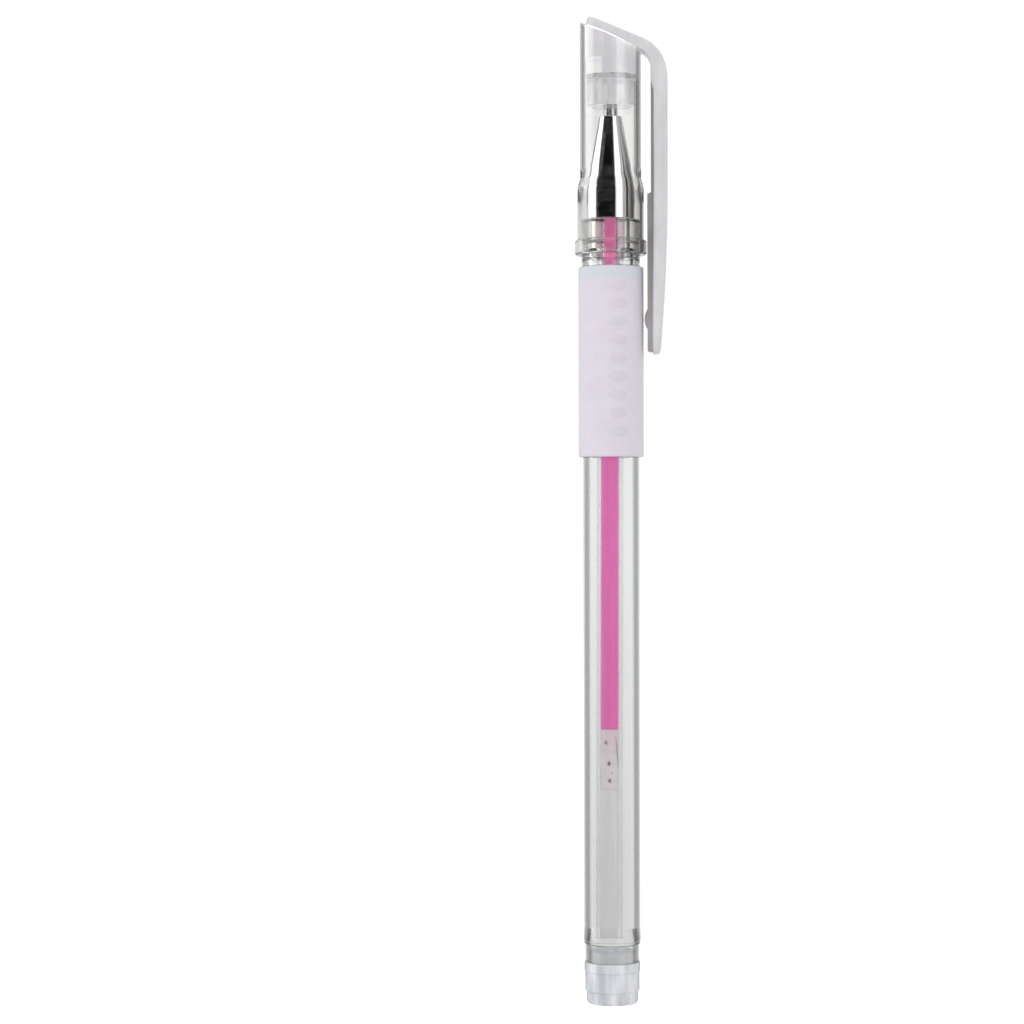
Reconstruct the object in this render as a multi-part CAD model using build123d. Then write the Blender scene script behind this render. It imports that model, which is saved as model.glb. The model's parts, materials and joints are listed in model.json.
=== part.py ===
from build123d import *
import math
import os

# A capped gel marking pen for fabric, standing on its end plug with the cap up.
# Millimetres.  +Z runs from the end plug to the cap, +X points at the pocket clip,
# and the origin is the centre of the end plug's flat rear face.

# Barrel: clear tube with a recessed grip seat, a neck for the cap and a threaded spigot.
BARREL_R = 4.30
BARREL_BORE_R = 3.00
BARREL_REAR_Z = 6.35
REAR_STEP_Z = 9.00
REAR_R = 4.12
REAR_BORE_R = 3.55
REAR_BORE_Z = 9.40
REAR_TAPER_Z = 11.60
GRIP_SEAT_R = 3.88
NECK_R = 4.45
NECK_TOP_Z = 118.80
NECK_GROOVES_Z = (112.90, 115.50)
NECK_GROOVE_DEPTH = 0.08
FEED_BORE_R = 2.45
FEED_TAPER_Z = 113.60
FEED_BORE_Z = 114.40
SPIGOT_R = 3.05
SPIGOT_TOP_Z = 123.40

# Grip sleeve: soft rubber with columns of raised ovals.
GRIP_Z0 = 82.85
GRIP_Z1 = 111.70
GRIP_R = 4.95
GRIP_FIT = 0.02
OVAL_COLUMNS = 2
OVAL_ROWS = 9
OVAL_PITCH = 2.75
OVAL_MIDDLE_Z = 97.80
OVAL_COLUMN_DEG = -75.0
OVAL_WIDTH = 3.80
OVAL_HEIGHT = 2.10
OVAL_RISE = 0.11

# End plug: a cup with a bead that stops it at the barrel's end.
PLUG_FOOT_R = 3.90
PLUG_FOOT_Z = 1.95
PLUG_R = 4.12
PLUG_BEAD_R = 4.25
PLUG_BEAD_Z = 4.85
PLUG_SPIGOT_R = 3.50
PLUG_TOP_Z = 8.05
PLUG_HOLLOW_R = 2.75
PLUG_FLOOR = 2.50

# Nose cone: metal skirt over the barrel's spigot, then a long taper to the nib.
CONE_BASE_Z = 118.85
CONE_SKIRT_R = 3.70
CONE_SKIRT_Z = 123.50
CONE_TIP_Z = 134.60
CONE_TIP_R = 1.68
CONE_THREAD_R = 3.14
CONE_THREAD_Z = 124.20
CONE_WALL = 0.55
CONE_HOLE_R = 1.12
CONE_HOLE_LENGTH = 1.20
CONE_GROOVE_Z = 121.70

# Refill: ink tube, tip holder, writing tip and ball.  Its free end leans in the bore.
REFILL_LEAN_DEG = 0.21
TUBE_R = 2.00
TUBE_BORE_R = 1.40
TUBE_Z0 = 10.20
HOLDER_Z0 = 112.80
HOLDER_STEM_Z = 107.00
HOLDER_R = 2.20
HOLDER_FLANGE_R = 2.90
HOLDER_FLANGE_Z = 123.45
HOLDER_FLANGE_THICKNESS = 0.60
HOLDER_SHOULDER_R = 1.95
HOLDER_NOSE_R = 1.45
HOLDER_NOSE_Z = 127.00
HOLDER_TOP_Z = 132.70
FEED_R = 0.95
FEED_TOP_Z = 126.00
TIP_R = 1.05
TIP_SHOULDER_Z = 136.70
TIP_NECK_R = 0.60
TIP_CONE_Z = 138.00
TIP_END_Z = 138.85
TIP_END_R = 0.48
TIP_CHANNEL_R = 0.25
BALL_R = 0.40
BALL_Z = 138.75
BALL_PLAY = 0.02
INK_FIT = 0.02
INK_Z0 = 41.60
GREASE_Z0 = 32.30
GREASE_GAP = 0.03

# Cap: clear tube, slanted at the top, with a rim bead and a wider skirt over the neck.
CAP_Z0 = 113.50
CAP_STEP_Z = 124.60
CAP_SKIRT_R = 5.05
CAP_SKIRT_BORE_R = 4.52
CAP_SKIRT_BORE_Z = 121.50
CAP_BORE_Z = 126.50
CAP_R = 4.65
CAP_BORE_R = 3.95
CAP_BEAD_R = 5.45
CAP_BEAD_LENGTH = 2.30
PRESS_GAP = 0.02

# The slanted seat that the cap's head lies on: height at the axis and fall per mm of +X.
SEAT_Z = 146.55
SEAT_FALL = 0.473

# Cap head: a slab on the seat that bends down into the clip, and a stepped plug below it.
HEAD_HALF_WIDTH = 2.40
HEAD_TOP_LEFT = (-3.35, 149.95)
HEAD_TOP_FALL = 0.436
HEAD_LEFT_X = -3.90
CLIP_OUTER_X = 8.62
CLIP_INNER_X = 6.15
BEND_OUTER_R = 6.00
BEND_INNER_R = 2.80
CLIP_ROOT_Z = 139.00
HEAD_END_ROUND = 2.30
HEAD_EDGE_ROUND = 0.35
HEAD_PLUG_Z0 = 140.95
HEAD_PLUG_STEP_Z = 143.20
HEAD_PLUG_STEP_X = -1.10

# Clip arm: a tapering plate with a rib on its inner side and a gripping bump.
CLIP_TAPER_Z = 124.00
CLIP_TIP_Z = 98.40
CLIP_TIP_X = 7.50
CLIP_TIP_HALF_WIDTH = 1.60
CLIP_TIP_ROUND = 1.00
PLATE_INNER_X = 6.60
PLATE_TIP_INNER_X = 6.30
RIB_HALF_WIDTH = 1.30
RIB_STEP_Z = 122.80
RIB_LOW_X = 5.60
RIB_END_Z = 98.75
BUMP_X = 5.15
BUMP_Z = 103.70
BUMP_R = 2.80

# Inner cap and pad: they close round the nib so that the ink cannot dry.
FLANGE_R = 3.90
FLANGE_Z0 = 139.95
FLANGE_Z1 = 140.75
SEAL_R = 3.60
SEAL_Z0 = 136.90
SEAL_SKIRT = 0.90
SEAL_SKIRT_BORE_R = 2.90
SOCKET_R = 0.78
SOCKET_MOUTH_R = 1.30
PAD_R = 1.60
PAD_Z0 = 139.20
PAD_Z1 = 139.90


def turned(*outline):
    """A solid of revolution about Z, from the (radius, height) corners of its half section."""
    section = make_face(Polyline(*[(r, 0, z) for r, z in outline], close=True))
    return revolve(section, Axis.Z)


def extruded(outline, half_width):
    """A bar across Y, from the (x, z) corners of its side view."""
    side = make_face(Polyline(*[(x, 0, z) for x, z in outline], close=True))
    return extrude(side, half_width, dir=(0, 1, 0), both=True)


def ring_edges(solid, radius, height):
    """The circular edges of a turned solid at one radius and height."""
    circles = solid.edges().filter_by(GeomType.CIRCLE)
    return circles.filter_by(
        lambda e: abs(e.radius - radius) < 1e-4 and abs(e.center().Z - height) < 1e-4
    )


def edge_nearest(solid, point):
    """The edge whose middle lies nearest to a point."""
    return solid.edges().sort_by(lambda e: (e.position_at(0.5) - Vector(*point)).length)[0]


def seat_height(x):
    """Height of the cap's slanted seat at a place along X."""
    return SEAT_Z - SEAT_FALL * x


def below_seat():
    """Everything under the slanted seat, as a block wider than the cap."""
    reach = 2 * CAP_R
    return extruded(
        [
            (-reach, seat_height(-reach)),
            (reach, seat_height(reach)),
            (reach, 0),
            (-reach, 0),
        ],
        reach,
    )


def leaning(solid):
    """Tilts a refill piece about the nose cone's hole, so that its rear end leans to -X."""
    pivot = Pos(0, 0, CONE_TIP_Z)
    return pivot * Rot(0, REFILL_LEAN_DEG, 0) * pivot.inverse() * solid


def barrel():
    body = turned(
        (REAR_BORE_R, BARREL_REAR_Z),
        (REAR_R, BARREL_REAR_Z),
        (REAR_R, REAR_STEP_Z),
        (BARREL_R, REAR_STEP_Z + BARREL_R - REAR_R),
        (BARREL_R, GRIP_Z0 - GRIP_FIT),
        (GRIP_SEAT_R, GRIP_Z0 - GRIP_FIT),
        (GRIP_SEAT_R, GRIP_Z1 + GRIP_FIT),
        (NECK_R, GRIP_Z1 + GRIP_FIT),
        (NECK_R, NECK_TOP_Z),
        (SPIGOT_R, NECK_TOP_Z),
        (SPIGOT_R, SPIGOT_TOP_Z),
        (FEED_BORE_R, SPIGOT_TOP_Z),
        (FEED_BORE_R, FEED_BORE_Z),
        (BARREL_BORE_R, FEED_TAPER_Z),
        (BARREL_BORE_R, REAR_TAPER_Z),
        (REAR_BORE_R, REAR_BORE_Z),
    )
    for height in NECK_GROOVES_Z:
        body -= Pos(0, 0, height) * Torus(NECK_R + NECK_GROOVE_DEPTH, 2 * NECK_GROOVE_DEPTH)
    return chamfer(ring_edges(body, NECK_R, NECK_TOP_Z), 0.15)


def grip_oval():
    """One raised oval of the grip, pointing along +X at height zero."""
    blank = Plane.YZ * Ellipse(OVAL_WIDTH / 2, OVAL_HEIGHT / 2)
    stub = extrude(blank, GRIP_R + 1)
    shell = Cylinder(GRIP_R + OVAL_RISE, OVAL_HEIGHT) - Cylinder(GRIP_R - 0.3, OVAL_HEIGHT)
    return stub & shell


def grip_sleeve():
    inner = GRIP_SEAT_R + GRIP_FIT
    sleeve = turned((inner, GRIP_Z0), (GRIP_R, GRIP_Z0), (GRIP_R, GRIP_Z1), (inner, GRIP_Z1))
    ends = ring_edges(sleeve, GRIP_R, GRIP_Z0) + ring_edges(sleeve, GRIP_R, GRIP_Z1)
    sleeve = fillet(ends, 0.3)
    oval = grip_oval()
    ovals = []
    for column in range(OVAL_COLUMNS):
        turn = Rot(0, 0, OVAL_COLUMN_DEG + column * 360 / OVAL_COLUMNS)
        for row in range(OVAL_ROWS):
            height = OVAL_MIDDLE_Z + (row - (OVAL_ROWS - 1) / 2) * OVAL_PITCH
            ovals.append(Pos(0, 0, height) * turn * oval)
    return sleeve.fuse(*ovals)


def end_plug():
    bead_top = BARREL_REAR_Z - 0.05
    plug = turned(
        (0, 0),
        (PLUG_FOOT_R, 0),
        (PLUG_FOOT_R, PLUG_FOOT_Z),
        (PLUG_R, PLUG_FOOT_Z),
        (PLUG_R, PLUG_BEAD_Z),
        (PLUG_BEAD_R, PLUG_BEAD_Z),
        (PLUG_BEAD_R, bead_top),
        (PLUG_SPIGOT_R, bead_top),
        (PLUG_SPIGOT_R, PLUG_TOP_Z),
        (PLUG_HOLLOW_R, PLUG_TOP_Z),
        (PLUG_HOLLOW_R, PLUG_FLOOR),
        (0, PLUG_FLOOR),
    )
    plug = fillet(ring_edges(plug, PLUG_FOOT_R, 0), 0.55)
    plug = fillet(ring_edges(plug, PLUG_R, PLUG_FOOT_Z), 0.12)
    bead_edges = ring_edges(plug, PLUG_BEAD_R, PLUG_BEAD_Z) + ring_edges(plug, PLUG_BEAD_R, bead_top)
    plug = chamfer(bead_edges, 0.12)
    return chamfer(ring_edges(plug, PLUG_SPIGOT_R, PLUG_TOP_Z), 0.2)


def nose_cone():
    hole_z = CONE_TIP_Z - CONE_HOLE_LENGTH
    cone = turned(
        (CONE_THREAD_R, CONE_BASE_Z),
        (CONE_SKIRT_R, CONE_BASE_Z),
        (CONE_SKIRT_R, CONE_SKIRT_Z),
        (CONE_TIP_R, CONE_TIP_Z),
        (CONE_HOLE_R, CONE_TIP_Z),
        (CONE_HOLE_R, hole_z),
        (CONE_HOLE_R + CONE_WALL, hole_z - CONE_WALL),
        (CONE_SKIRT_R - 2 * CONE_WALL, CONE_THREAD_Z + CONE_WALL),
        (CONE_THREAD_R, CONE_THREAD_Z),
    )
    cone -= Pos(0, 0, CONE_GROOVE_Z) * Torus(CONE_SKIRT_R + 0.04, 0.10)
    cone = fillet(ring_edges(cone, CONE_TIP_R, CONE_TIP_Z), 0.15)
    return fillet(ring_edges(cone, CONE_SKIRT_R, CONE_SKIRT_Z), 0.8)


def refill_tube():
    return turned(
        (TUBE_BORE_R, TUBE_Z0),
        (TUBE_R, TUBE_Z0),
        (TUBE_R, HOLDER_Z0),
        (TUBE_BORE_R, HOLDER_Z0),
    )


def tip_holder():
    """Stem in the ink tube, a flange that the nose cone clamps and a nose round the tip."""
    stem_r = TUBE_BORE_R - INK_FIT
    flange_top = HOLDER_FLANGE_Z + HOLDER_FLANGE_THICKNESS
    holder = turned(
        (FEED_R, HOLDER_STEM_Z),
        (stem_r, HOLDER_STEM_Z),
        (stem_r, HOLDER_Z0 + INK_FIT),
        (HOLDER_R, HOLDER_Z0 + INK_FIT),
        (HOLDER_R, HOLDER_FLANGE_Z),
        (HOLDER_FLANGE_R, HOLDER_FLANGE_Z),
        (HOLDER_FLANGE_R, flange_top),
        (HOLDER_SHOULDER_R, flange_top),
        (HOLDER_NOSE_R, HOLDER_NOSE_Z),
        (HOLDER_NOSE_R, HOLDER_TOP_Z),
        (TIP_R + INK_FIT, HOLDER_TOP_Z),
        (TIP_R + INK_FIT, FEED_TOP_Z),
        (FEED_R, FEED_TOP_Z),
    )
    return fillet(ring_edges(holder, HOLDER_R, HOLDER_Z0 + INK_FIT), 0.25)


def writing_tip():
    """Metal tip: a round body, a thinner neck and a cone that is swaged round the ball."""
    tip = turned(
        (TIP_CHANNEL_R, FEED_TOP_Z + INK_FIT),
        (TIP_R, FEED_TOP_Z + INK_FIT),
        (TIP_R, TIP_SHOULDER_Z - 0.35),
        (TIP_NECK_R + 0.1, TIP_SHOULDER_Z),
        (TIP_NECK_R, TIP_SHOULDER_Z),
        (TIP_NECK_R, TIP_CONE_Z),
        (TIP_END_R, TIP_END_Z),
        (TIP_CHANNEL_R, TIP_END_Z),
    )
    return tip - Pos(0, 0, BALL_Z) * Sphere(BALL_R + BALL_PLAY)


def tip_ball():
    return Pos(0, 0, BALL_Z) * Sphere(BALL_R)


def ink_column():
    radius = TUBE_BORE_R - INK_FIT
    return turned((0, INK_Z0), (radius, INK_Z0), (radius, HOLDER_STEM_Z), (0, HOLDER_STEM_Z))


def ink_feed():
    radius = FEED_R - INK_FIT
    base = HOLDER_STEM_Z + INK_FIT
    return turned((0, base), (radius, base), (radius, FEED_TOP_Z), (0, FEED_TOP_Z))


def follower_grease():
    radius = TUBE_BORE_R - GREASE_GAP
    top = INK_Z0 - INK_FIT
    return turned((0, GREASE_Z0), (radius, GREASE_Z0), (radius, top), (0, top))


def cap_tube():
    above = SEAT_Z + SEAT_FALL * CAP_R + 1
    bead_top = CAP_Z0 + CAP_BEAD_LENGTH
    tube = turned(
        (CAP_SKIRT_BORE_R, CAP_Z0),
        (CAP_BEAD_R, CAP_Z0),
        (CAP_BEAD_R, bead_top),
        (CAP_SKIRT_R, bead_top),
        (CAP_SKIRT_R, CAP_STEP_Z),
        (CAP_R, CAP_STEP_Z),
        (CAP_R, above),
        (CAP_BORE_R, above),
        (CAP_BORE_R, CAP_BORE_Z),
        (CAP_SKIRT_BORE_R, CAP_SKIRT_BORE_Z),
    )
    tube = chamfer(ring_edges(tube, CAP_BEAD_R, CAP_Z0), 0.35)
    tube = chamfer(ring_edges(tube, CAP_BEAD_R, bead_top), 0.35)
    tube = chamfer(ring_edges(tube, CAP_SKIRT_R, CAP_STEP_Z), 0.25)
    tube = chamfer(ring_edges(tube, CAP_SKIRT_BORE_R, CAP_Z0), 0.15)
    return tube & below_seat()


def cap_head():
    """The slab and its bend, fused with the plug that is pressed into the cap tube."""
    top_corner_z = HEAD_TOP_LEFT[1] - HEAD_TOP_FALL * (CLIP_OUTER_X - HEAD_TOP_LEFT[0])
    slab = extruded(
        [
            HEAD_TOP_LEFT,
            (CLIP_OUTER_X, top_corner_z),
            (CLIP_OUTER_X, CLIP_ROOT_Z),
            (CLIP_INNER_X, CLIP_ROOT_Z),
            (CLIP_INNER_X, seat_height(CLIP_INNER_X)),
            (HEAD_LEFT_X, seat_height(HEAD_LEFT_X)),
        ],
        HEAD_HALF_WIDTH,
    )
    slab = fillet(edge_nearest(slab, (CLIP_OUTER_X, 0, top_corner_z)), BEND_OUTER_R)
    slab = fillet(edge_nearest(slab, (CLIP_INNER_X, 0, seat_height(CLIP_INNER_X))), BEND_INNER_R)
    end_x = (HEAD_TOP_LEFT[0] + HEAD_LEFT_X) / 2
    end_z = (HEAD_TOP_LEFT[1] + seat_height(HEAD_LEFT_X)) / 2
    end_edges = [edge_nearest(slab, (end_x, side * HEAD_HALF_WIDTH, end_z)) for side in (-1, 1)]
    slab = fillet(end_edges, HEAD_END_ROUND)
    rim = edge_nearest(slab, (CLIP_OUTER_X, HEAD_HALF_WIDTH, CLIP_ROOT_Z + 1))
    slab = fillet(rim, HEAD_EDGE_ROUND)

    plug_r = CAP_BORE_R - PRESS_GAP
    deep = Pos(0, 0, HEAD_PLUG_Z0) * Cylinder(plug_r, 10, align=(Align.CENTER, Align.CENTER, Align.MIN))
    step = Box(
        10,
        10,
        HEAD_PLUG_STEP_Z - HEAD_PLUG_Z0,
        align=(Align.MAX, Align.CENTER, Align.MIN),
    )
    plug = (deep & below_seat()) - Pos(HEAD_PLUG_STEP_X, 0, HEAD_PLUG_Z0) * step
    return slab + plug


def clip_plate(root_z):
    """The clip's outer plate, straight at its root and drawn in by arcs towards its tip."""
    side_lines = Polyline(
        (CLIP_OUTER_X, 0, CLIP_TAPER_Z),
        (CLIP_OUTER_X, 0, root_z),
        (PLATE_INNER_X, 0, root_z),
        (PLATE_INNER_X, 0, CLIP_TAPER_Z),
        (PLATE_TIP_INNER_X, 0, CLIP_TIP_Z),
        (CLIP_TIP_X, 0, CLIP_TIP_Z),
    )
    side_bow = TangentArc(
        (CLIP_OUTER_X, 0, CLIP_TAPER_Z), (CLIP_TIP_X, 0, CLIP_TIP_Z), tangent=(0, 0, -1)
    )
    side = make_face(Wire([*side_lines.edges(), side_bow]))
    plate = extrude(side, HEAD_HALF_WIDTH, dir=(0, 1, 0), both=True)

    front_edges = [
        Line((0, -HEAD_HALF_WIDTH, root_z), (0, HEAD_HALF_WIDTH, root_z)),
        Line((0, -CLIP_TIP_HALF_WIDTH, CLIP_TIP_Z), (0, CLIP_TIP_HALF_WIDTH, CLIP_TIP_Z)),
    ]
    for way in (-1, 1):
        wide = (0, way * HEAD_HALF_WIDTH, CLIP_TAPER_Z)
        narrow = (0, way * CLIP_TIP_HALF_WIDTH, CLIP_TIP_Z)
        front_edges.append(Line((0, way * HEAD_HALF_WIDTH, root_z), wide))
        front_edges.append(TangentArc(wide, narrow, tangent=(0, 0, -1)))
    front = make_face(Wire(front_edges))
    front = fillet(front.vertices().group_by(Axis.Z)[0], CLIP_TIP_ROUND)
    return plate & extrude(front, 2 * CLIP_OUTER_X, dir=(1, 0, 0))


def clip_arm():
    root_z = CLIP_ROOT_Z - PRESS_GAP
    arm = clip_plate(root_z)
    middle_z = (CLIP_TAPER_Z + root_z) / 2
    long_edges = [
        edge_nearest(arm, (CLIP_OUTER_X, way * HEAD_HALF_WIDTH, middle_z)) for way in (-1, 1)
    ]
    arm = fillet(long_edges, HEAD_EDGE_ROUND)

    rib = extruded(
        [
            (CLIP_INNER_X, root_z),
            (PLATE_INNER_X + 0.2, root_z),
            (PLATE_INNER_X + 0.2, RIB_END_Z),
            (RIB_LOW_X, RIB_END_Z),
            (RIB_LOW_X, RIB_STEP_Z),
            (CLIP_INNER_X, RIB_STEP_Z),
        ],
        RIB_HALF_WIDTH,
    )
    bump = Pos(BUMP_X + BUMP_R, 0, BUMP_Z) * Rot(90, 0, 0) * Cylinder(BUMP_R, 2 * RIB_HALF_WIDTH)
    bump &= Pos(CLIP_INNER_X, 0, BUMP_Z) * Box(2, 10, 10)
    return arm + rib + bump


def inner_cap():
    """Flange and seal, with a socket that closes round the writing tip."""
    skirt_z = SEAL_Z0 - SEAL_SKIRT
    return turned(
        (SOCKET_MOUTH_R, SEAL_Z0),
        (SEAL_SKIRT_BORE_R, SEAL_Z0),
        (SEAL_SKIRT_BORE_R + 0.3, skirt_z),
        (SEAL_R, skirt_z),
        (SEAL_R, FLANGE_Z0),
        (FLANGE_R, FLANGE_Z0),
        (FLANGE_R, FLANGE_Z1),
        (0, FLANGE_Z1),
        (0, PAD_Z1 + PRESS_GAP),
        (PAD_R + PRESS_GAP, PAD_Z1 + PRESS_GAP),
        (PAD_R + PRESS_GAP, PAD_Z0 - PRESS_GAP),
        (SOCKET_R, PAD_Z0 - PRESS_GAP),
        (SOCKET_R, SEAL_Z0 + SOCKET_MOUTH_R - SOCKET_R),
    )


def seal_pad():
    return turned((0, PAD_Z0), (PAD_R, PAD_Z0), (PAD_R, PAD_Z1), (0, PAD_Z1))


NODES = {
    "barrel": barrel(),
    "grip_sleeve": grip_sleeve(),
    "end_plug": end_plug(),
    "nose_cone": nose_cone(),
    "refill_tube": leaning(refill_tube()),
    "tip_holder": leaning(tip_holder()),
    "writing_tip": leaning(writing_tip()),
    "tip_ball": leaning(tip_ball()),
    "ink_column": leaning(ink_column()),
    "ink_feed": leaning(ink_feed()),
    "follower_grease": leaning(follower_grease()),
    "cap_tube": cap_tube(),
    "cap_head": cap_head(),
    "clip_arm": clip_arm(),
    "inner_cap": inner_cap(),
    "seal_pad": seal_pad(),
}

os.makedirs("parts", exist_ok=True)
for name, shape in NODES.items():
    export_step(shape, f"parts/{name}.step")
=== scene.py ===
import json
import math
import random

import bmesh
import bpy
from mathutils import Matrix, Vector

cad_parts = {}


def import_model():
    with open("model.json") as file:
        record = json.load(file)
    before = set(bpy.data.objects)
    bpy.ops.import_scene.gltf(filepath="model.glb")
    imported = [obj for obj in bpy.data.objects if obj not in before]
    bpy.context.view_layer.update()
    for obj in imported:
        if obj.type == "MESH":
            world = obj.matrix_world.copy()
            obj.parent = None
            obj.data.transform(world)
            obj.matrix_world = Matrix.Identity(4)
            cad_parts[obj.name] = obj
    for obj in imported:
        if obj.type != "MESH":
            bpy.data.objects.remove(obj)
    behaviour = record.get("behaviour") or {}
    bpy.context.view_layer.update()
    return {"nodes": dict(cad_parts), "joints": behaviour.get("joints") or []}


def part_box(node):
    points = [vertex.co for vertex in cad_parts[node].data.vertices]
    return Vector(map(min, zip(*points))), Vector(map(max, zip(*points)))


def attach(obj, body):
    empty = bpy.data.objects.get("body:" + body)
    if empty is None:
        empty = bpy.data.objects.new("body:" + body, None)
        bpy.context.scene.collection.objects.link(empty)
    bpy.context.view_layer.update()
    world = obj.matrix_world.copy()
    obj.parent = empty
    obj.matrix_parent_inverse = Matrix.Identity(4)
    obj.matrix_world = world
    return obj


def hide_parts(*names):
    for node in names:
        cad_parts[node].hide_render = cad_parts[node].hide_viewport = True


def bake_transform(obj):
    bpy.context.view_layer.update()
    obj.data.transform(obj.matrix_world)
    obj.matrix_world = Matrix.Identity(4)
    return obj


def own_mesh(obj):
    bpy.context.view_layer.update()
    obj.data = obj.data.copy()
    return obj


# A capped gel marking pen for fabric.  It stands on its end plug, +Z runs to the cap and +X
# points at the clip.  Sizes are in millimetres and become metres where meshes are made.

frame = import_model()

MM = 0.001
SEGMENTS = 144
SHARP_ANGLE = math.radians(33)
random.seed(7)


# ---------------------------------------------------------------- sizes

def span(node):
    """Bottom, top and outer radius of a CAD node, in millimetres."""
    low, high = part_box(node)
    return low.z / MM, high.z / MM, high.y / MM


def joint(name):
    return next(j for j in frame["joints"] if j["name"] == name)


BARREL_Z0, SPIGOT_TOP_Z, NECK_R = span("barrel")
GRIP_Z0, GRIP_Z1, GRIP_OUT_R = span("grip_sleeve")
PLUG_TOP_Z, PLUG_BEAD_R = span("end_plug")[1:]
CONE_Z0, CONE_TIP_Z, CONE_R = span("nose_cone")
INK_Z0 = span("ink_column")[0]
GREASE_Z1 = span("follower_grease")[1]
CAP_Z0 = span("cap_tube")[0]
CAP_BEAD_R = span("cap_tube")[2]
CLIP_TIP_Z = span("clip_arm")[0]
HEAD_HALF_WIDTH = span("clip_arm")[2]
INNER_CAP_Z1, FLANGE_R = span("inner_cap")[1:]
HEAD_TOP_Z = span("cap_head")[1]
CLIP_OUTER_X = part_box("clip_arm")[1].x / MM

BARREL_R = 4.30
BARREL_BORE_R = 3.00
REAR_R = 4.12
REAR_BORE_R = 3.55
GRIP_SEAT_R = 3.88
GRIP_R = 4.95
NECK_TOP_Z = 118.80
SPIGOT_R = 3.05
FEED_BORE_R = 2.45

# The refill leans, so these are its own radii and heights before it is tilted.
TUBE_BORE_R = 1.40
TUBE_OUTER_R = 2.00
TUBE_TOP_Z = 112.80
INK_COLUMN_R = 1.38
INK_COLUMN_Z0 = 41.60
FEED_Z0 = 107.00
FEED_Z1 = 126.00

CAP_R = 4.65
CAP_BORE_R = 3.95
CAP_SKIRT_R = 5.05
CAP_SKIRT_BORE_R = 4.52
CAP_STEP_Z = 124.60
SEAT_Z = 146.55
SEAT_FALL = 0.473


def seat_height(x):
    """Height of the cap's slanted seat at a place along X."""
    return SEAT_Z - SEAT_FALL * x


# ---------------------------------------------------------------- meshes

def eased(share):
    """A share held between 0 and 1, easing in and out of them."""
    share = min(max(share, 0), 1)
    return share * share * (3 - 2 * share)


def dished_end(radius, z, depth):
    """The outline of a hollow end, from the axis out to its rim."""
    return [(radius * k / 10, z + depth * (1 - (k / 10) ** 2)) for k in range(11)]


def rounded(corners, steps=5):
    """The points of an outline whose corners are (r, z) or (r, z, radius of the rounding)."""
    points = []
    for i, corner in enumerate(corners):
        here = Vector(corner[:2])
        if len(corner) == 2:
            points.append(here)
            continue
        radius = corner[2]
        before = (Vector(corners[i - 1][:2]) - here).normalized()
        after = (Vector(corners[(i + 1) % len(corners)][:2]) - here).normalized()
        half = before.angle(after) / 2
        reach = radius / math.tan(half)
        centre = here + (before + after).normalized() * radius / math.sin(half)
        start = here + before * reach - centre
        turn = -start.angle_signed(here + after * reach - centre)
        hold = min(0.15 * radius, 0.03)
        points.append(here + before * (reach + hold))
        for k in range(steps + 1):
            points.append(centre + Matrix.Rotation(turn * k / steps, 2) @ start)
        points.append(here + after * (reach + hold))
    return points


def to_mesh(name, build):
    """A named mesh in metres from a bmesh in millimetres."""
    bmesh.ops.remove_doubles(build, verts=build.verts, dist=1e-5)
    bmesh.ops.recalc_face_normals(build, faces=build.faces)
    bmesh.ops.scale(build, vec=(MM, MM, MM), verts=build.verts)
    mesh = bpy.data.meshes.new(name)
    build.to_mesh(mesh)
    build.free()
    mesh.polygons.foreach_set("use_smooth", [True] * len(mesh.polygons))
    mesh.set_sharp_from_angle(angle=SHARP_ANGLE)
    return mesh


def bridge(build, near, far):
    """Faces between two rings of the same number of points."""
    for k in range(len(near)):
        after = (k + 1) % len(near)
        build.faces.new((near[k], near[after], far[after], far[k]))


def lathe(name, outline, segments=SEGMENTS, lift=None):
    """A turned mesh about Z from the closed outline of its half section.

    lift gives a point's height from its x and z, for ends that are not square."""
    build = bmesh.new()
    rings = []
    for r, z in outline:
        ring = []
        for k in range(segments):
            angle = 2 * math.pi * k / segments
            x, y = r * math.cos(angle), r * math.sin(angle)
            ring.append(build.verts.new((x, y, lift(x, z) if lift else z)))
        rings.append(ring)
    for lower, upper in zip(rings, rings[1:] + rings[:1]):
        on_axis = lower[0].co.xy.length < 1e-6 and upper[0].co.xy.length < 1e-6
        if not on_axis:
            bridge(build, lower, upper)
    return to_mesh(name, build)


def rounded_bar(stations, corner_steps=5):
    """A bmesh bar along stations of (outer point, inner point, half width, corner radius).

    The points are (x, z) in the XZ plane and the width runs along Y."""
    build = bmesh.new()
    rings = []
    for outer, inner, half_width, corner in stations:
        outer, inner = Vector(outer), Vector(inner)
        middle = (outer + inner) / 2
        across = outer - inner
        half_depth = across.length / 2
        across.normalize()
        corner = min(corner, half_depth * 0.98, half_width * 0.98)
        ring = []
        for side_y, side_d, first in ((1, 1, 0), (-1, 1, 90), (-1, -1, 180), (1, -1, 270)):
            for k in range(corner_steps + 1):
                angle = math.radians(first + 90 * k / corner_steps)
                y = side_y * (half_width - corner) + corner * math.cos(angle)
                d = side_d * (half_depth - corner) + corner * math.sin(angle)
                place = middle + across * d
                ring.append(build.verts.new((place.x, y, place.y)))
        rings.append(ring)
    for near, far in zip(rings, rings[1:]):
        bridge(build, near, far)
    build.faces.new(rings[0])
    build.faces.new(rings[-1])
    return build


# ---------------------------------------------------------------- materials

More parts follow.
